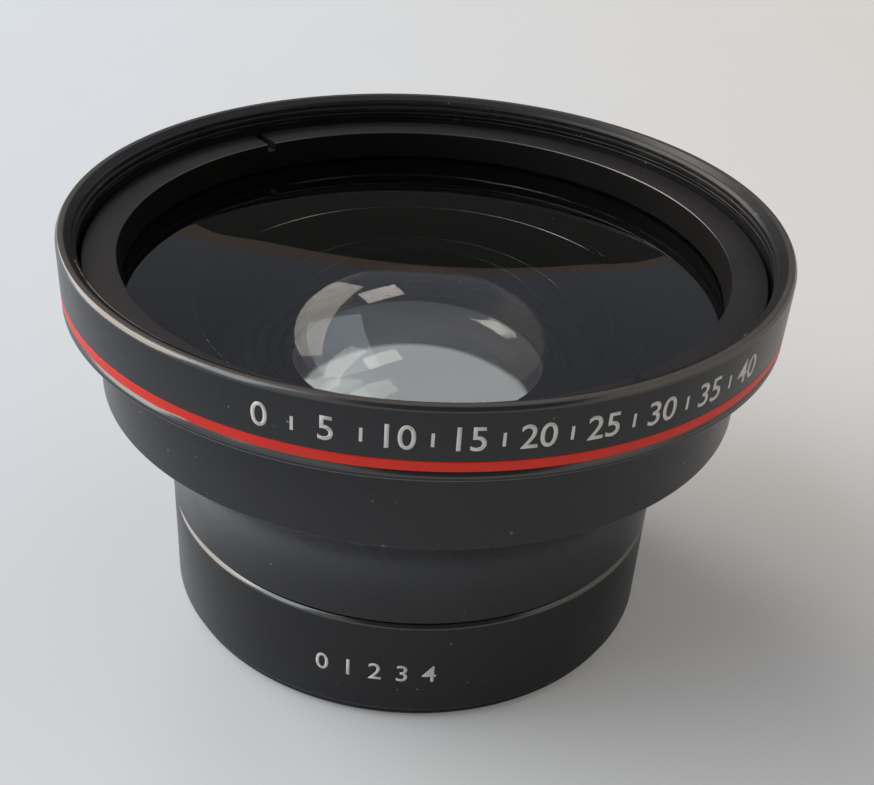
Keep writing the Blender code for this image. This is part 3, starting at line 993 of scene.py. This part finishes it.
class LENS_OT_inner_rings(bpy.types.Operator):
    """Build the retaining rings, the spacer and the washer"""

    bl_idname = "lens.inner_rings"
    bl_label = "Inner rings"

    def execute(self, context):
        turning = context.scene.lens_turning
        matt = anodised_material("matt_black", context.scene.lens_finish.matt, roughness=0.45,
                                 grain=0.6, marks=0.2)
        for node, body, angle, side in (
                ("front_retaining_ring", "wide_barrel", turning.front_slot_angle, 1),
                ("rear_retaining_ring", "wide_barrel", turning.rear_slot_angle, 0),
                ("macro_retaining_ring", "macro_section", turning.rear_slot_angle, 0)):
            piece = make_piece(node, body, matt)
            low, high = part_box(node)
            inner = min(point.real for point in section_of(node))
            cut_slots(piece, angle, (low, high)[side].z, inner, high.x)
            polish_edges(piece, upper_only=True)
            paint_bore(piece, inner + CLEARANCE)
        make_piece("rear_spacer_ring", "wide_barrel", matt)
        make_piece("front_seat_washer", "wide_barrel", fibre_material())
        return {"FINISHED"}


class LENS_OT_glasses(bpy.types.Operator):
    """Build the four glasses"""

    bl_idname = "lens.glasses"
    bl_label = "Glasses"

    def execute(self, context):
        dusty = glass_material("coated_glass", True)
        clean = glass_material("clean_glass", False)
        black = shared_material("edge_paint", edge_material)
        corner = context.scene.lens_turning.glass_corner
        for node, body in (
                ("front_element", "wide_optics"), ("rear_crown_element", "wide_optics"),
                ("rear_flint_element", "wide_optics"), ("macro_element", "macro_section")):
            glass = dusty if node == "front_element" else clean
            piece = make_piece(node, body, glass, corner)
            low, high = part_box(node)
            cover_faces(piece, black, lambda reach, height, rise: (
                reach > high.x - EDGE_BAND
                or reach > high.x / 2 and height < low.z + EDGE_BAND and rise < -FLAT))
        return {"FINISHED"}


def numeral(text, height):
    """The flat outline of a numeral, centred, as a mesh."""
    marks = bpy.context.scene.lens_marks
    curve = bpy.data.curves.new("numeral", "FONT")
    curve.body = text
    curve.align_x = "CENTER"
    curve.align_y = "CENTER"
    curve.size = height / NUMERAL_PART
    curve.offset = marks.thickening
    curve.resolution_u = NUMERAL_STEPS
    curve.fill_mode = "FRONT"
    writer = add_object("numeral", curve)
    graph = bpy.context.evaluated_depsgraph_get()
    mesh = bpy.data.meshes.new_from_object(writer.evaluated_get(graph))
    bpy.data.objects.remove(writer)
    bpy.data.curves.remove(curve)
    return mesh


def rectangle(name, width, height):
    """A flat rectangle round the origin, as a mesh."""
    mesh = bpy.data.meshes.new(name)
    corners = ((-1, -1), (1, -1), (1, 1), (-1, 1))
    mesh.from_pydata([(x * width / 2, y * height / 2, 0) for x, y in corners], [], [(0, 1, 2, 3)])
    return mesh


def painted_marks(name, marks, radius):
    """One piece of paint on a ring, from flat marks given as (mesh, angle, height)."""
    settings = bpy.context.scene.lens_marks
    paint = bmesh.new()
    for flat, angle, height in marks:
        before = len(paint.verts)
        paint.from_mesh(flat)
        paint.verts.ensure_lookup_table()
        for corner in paint.verts[before:]:
            corner.co.x += math.radians(angle) * radius
            corner.co.y += height
        bpy.data.meshes.remove(flat)
    bmesh.ops.remove_doubles(paint, verts=paint.verts, dist=1e-6)
    bmesh.ops.triangulate(paint, faces=paint.faces)
    solid = bmesh.ops.extrude_face_region(paint, geom=paint.faces[:])
    for corner in solid["geom"]:
        if isinstance(corner, bmesh.types.BMVert):
            corner.co.z += 2 * settings.paint
    bmesh.ops.recalc_face_normals(paint, faces=paint.faces)
    for corner in paint.verts:
        angle = corner.co.x / radius
        reach = radius - settings.paint + corner.co.z
        corner.co = Vector((reach * math.sin(angle), -reach * math.cos(angle), corner.co.y))
    mesh = bpy.data.meshes.new(name)
    paint.to_mesh(mesh)
    paint.free()
    return add_object(name, mesh)


class LENS_OT_marks(bpy.types.Operator):
    """Paint the plain numerals and lines"""

    bl_idname = "lens.marks"
    bl_label = "Numerals"

    def execute(self, context):
        marks = context.scene.lens_marks
        paint = paint_material()
        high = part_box("front_ring")[1]
        middle = high.z - BAND_DROP
        band = []
        for count in range(BAND_COUNT):
            angle = BAND_START + BAND_STEP * count
            if count:
                line = rectangle("line", marks.stroke, marks.band_height * LINE_PART)
                band.append((line, angle - BAND_STEP / 2, middle))
            band.append((numeral(str(BAND_VALUE * count), marks.band_height), angle, middle))
        piece = painted_marks("band_numerals", band, high.x)
        finish_piece(piece, None, "wide_barrel", paint)
        row = [(numeral(str(count), marks.macro_height), MACRO_START + MACRO_STEP * count,
                MACRO_MIDDLE) for count in range(MACRO_COUNT)]
        piece = painted_marks("macro_numerals", row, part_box("macro_ring")[1].x)
        finish_piece(piece, None, "macro_section", paint)
        return {"FINISHED"}


def make_floor():
    """A wide pale floor with painted light: cool and paler at the left, warmer and darker at the
    right.

    To rays that come through the glasses it glows: a painted pool of light under the lens, with
    painted shade round it.
    """
    stage = bpy.context.scene.lens_stage
    floor = add_object("floor", rectangle("floor", FLOOR_WIDTH, FLOOR_WIDTH))
    floor.location.z = -FLOOR_DROP
    material, tree, shader = new_material("paper")
    place = object_place(tree)
    fibres = noise(tree, place, scale=30.0, detail=6.0, roughness=0.5)
    across = add_node(tree, "ShaderNodeSeparateXYZ", {"Vector": place}).outputs["X"]
    # Painted light: the floor is cool and paler at the left and warmer and darker at the right.
    floor_light_tint = blend_colour(tree, ramp(tree, across, -FLOOR_REACH, FLOOR_REACH, "LINEAR"),
                        stage.cool_floor, stage.warm_floor)
    surface = blend_colour(tree, calc(tree, "MULTIPLY", fibres, PAPER_GRAIN), floor_light_tint, (0, 0, 0))
    far = ramp(tree, measure(tree, "LENGTH", place), *FAR_FLOOR)
    rays = add_node(tree, "ShaderNodeLightPath").outputs
    feed(tree, shader, {
        "Base Color": blend_colour(tree, far, surface, stage.far_floor),
        "Emission Color": (*stage.floor_glow, 1), "Emission Strength": rays["Is Camera Ray"],
        "Roughness": 0.9, "Specular IOR Level": 0.1})
    away = measure(tree, "DISTANCE", place, stage.patch_centre)
    edge = ramp(tree, away, stage.patch_radius, stage.patch_radius + PATCH_EDGE, "LINEAR")
    through = blend_colour(tree, edge, stage.patch, stage.patch_shade)
    glow = add_node(tree, "ShaderNodeEmission", {"Color": through, "Strength": 1.0})
    mixed = add_node(tree, "ShaderNodeMixShader", {
        0: rays["Is Transmission Ray"], 1: shader.outputs["BSDF"], 2: glow.outputs["Emission"]})
    tree.links.new(mixed.outputs["Shader"], tree.nodes["Material Output"].inputs["Surface"])
    floor.data.materials.append(material)


def make_room():
    """The soft room: a pale ceiling, cool behind and warm in front, dim walls and a dark shape.

    The front glass mirrors the part of the room behind the lens: a dark wall whose top edge is
    bowed, with a brown strip along it, and the ceiling above."""
    stage = bpy.context.scene.lens_stage
    world = bpy.data.worlds.new("room")
    bpy.context.scene.world = world
    world.use_nodes = True
    tree = world.node_tree
    tree.nodes.clear()
    way = add_node(tree, "ShaderNodeTexCoord").outputs["Generated"]
    axes = add_node(tree, "ShaderNodeSeparateXYZ", {"Vector": way}).outputs

    def over(under, part):
        direction, low, high = ROOM_PARTS[part]
        near = measure(tree, "DOT_PRODUCT", way, Vector(direction).normalized())
        return blend_colour(tree, ramp(tree, near, low, high), under, getattr(stage, part))

    sky = over(over(stage.ceiling, "warm_side"), "back_ceiling")
    walls = over(over(stage.wall, "far_wall"), "right_wall")
    room = blend_colour(tree, ramp(tree, axes["Z"], *CEILING_EDGE), walls, sky)
    behind = calc(tree, "MAXIMUM", axes["Y"], LEAST_DEPTH)
    aside = calc(tree, "DIVIDE", axes["X"], behind)
    rise = calc(tree, "DIVIDE", axes["Z"], behind)
    bow = calc(tree, "MULTIPLY", calc(tree, "POWER", aside, 2.0), WALL_BOW)
    above = calc(tree, "ADD", calc(tree, "SUBTRACT", rise, WALL_TOP), bow)
    gain = calc(tree, "MULTIPLY", ramp(tree, aside, *SHELF_SIDES), -SHELF_GAIN)
    strip = calc(tree, "ADD", above, gain)
    room = blend_colour(tree, calc(tree, "LESS_THAN", above, 0.0), room, stage.shelf)
    below = calc(tree, "LESS_THAN", strip, -SHELF_HEIGHT)
    room = over(blend_colour(tree, below, room, stage.dark_wall), "shade")
    seen = add_node(tree, "ShaderNodeLightPath").outputs["Is Camera Ray"]
    colour = blend_colour(tree, seen, room, stage.horizon)
    light = add_node(tree, "ShaderNodeBackground", {"Color": colour, "Strength": 1.0})
    output = add_node(tree, "ShaderNodeOutputWorld")
    tree.links.new(light.outputs["Background"], output.inputs["Surface"])


def make_lamp(name, power):
    """A soft rectangular lamp that faces the lens."""
    place, size, colour = LAMPS[name]
    lamp = bpy.data.lights.new(name, "AREA")
    lamp.shape = "RECTANGLE"
    lamp.size, lamp.size_y = size
    lamp.energy = power
    lamp.color = colour
    holder = add_object(name, lamp)
    holder.location = place
    holder.rotation_mode = "QUATERNION"
    holder.rotation_quaternion = (Vector(LAMP_TARGET) - Vector(place)).to_track_quat("-Z", "Y")


def make_camera():
    """The camera where the photograph was taken from."""
    stage = bpy.context.scene.lens_stage
    data = bpy.data.cameras.new("camera")
    data.sensor_width = 36
    data.lens = stage.camera_lens
    data.shift_x, data.shift_y = stage.camera_shift
    data.clip_start = 0.005
    holder = add_object("camera", data)
    holder.location = (0, -stage.camera_back, stage.camera_height)
    tilt, turn = -stage.camera_tilt, -stage.camera_turn
    ahead = Vector((
        math.sin(turn) * math.cos(tilt), math.cos(turn) * math.cos(tilt), math.sin(tilt)))
    roll = Quaternion((0, 0, 1), stage.camera_roll)
    holder.rotation_mode = "QUATERNION"
    holder.rotation_quaternion = ahead.to_track_quat("-Z", "Y") @ roll
    bpy.context.scene.camera = holder


class LENS_OT_stage(bpy.types.Operator):
    """Build the floor, the lights and the camera"""

    bl_idname = "lens.stage"
    bl_label = "Stage"

    def execute(self, context):
        stage = context.scene.lens_stage
        context.scene.view_settings.view_transform = "Standard"
        make_floor()
        make_room()
        make_lamp("window", stage.window_power)
        make_lamp("sky", stage.sky_power)
        make_lamp("far window", stage.lamp_power)
        make_camera()
        return {"FINISHED"}


class LENS_PT_panel(bpy.types.Panel):
    """Lists the pieces and their settings in the sidebar"""

    bl_idname = "LENS_PT_panel"
    bl_label = "Conversion lens"
    bl_space_type = "VIEW_3D"
    bl_region_type = "UI"
    bl_category = "Conversion lens"

    def draw(self, context):
        for operator in OPERATORS:
            self.layout.operator(operator.bl_idname)
        for attribute, group in SETTINGS.items():
            box = self.layout.box()
            box.label(text=group.__doc__)
            for name in group.__annotations__:
                box.prop(getattr(context.scene, attribute), name)


SETTINGS = {
    "lens_turning": TurningSettings,
    "lens_thread": ThreadSettings,
    "lens_marks": MarkSettings,
    "lens_finish": FinishSettings,
    "lens_stage": StageSettings,
}
OPERATORS = (
    LENS_OT_stage,
    LENS_OT_front_ring,
    LENS_OT_red_stripe,
    LENS_OT_barrel,
    LENS_OT_inner_rings,
    LENS_OT_glasses,
    LENS_OT_marks,
)


def register():
    """Registers the settings, operators and panel."""
    for attribute, group in SETTINGS.items():
        bpy.utils.register_class(group)
        setattr(bpy.types.Scene, attribute, PointerProperty(type=group))
    for operator in OPERATORS:
        bpy.utils.register_class(operator)
    bpy.utils.register_class(LENS_PT_panel)


def unregister():
    """Removes what register added."""
    bpy.utils.unregister_class(LENS_PT_panel)
    for operator in reversed(OPERATORS):
        bpy.utils.unregister_class(operator)
    for attribute, group in reversed(SETTINGS.items()):
        delattr(bpy.types.Scene, attribute)
        bpy.utils.unregister_class(group)


def main():
    """Builds the stage and every piece."""
    register()
    for operator in OPERATORS:
        group, name = operator.bl_idname.split(".")
        getattr(getattr(bpy.ops, group), name)()
    bpy.context.view_layer.update()


if __name__ == "__main__":
    main()
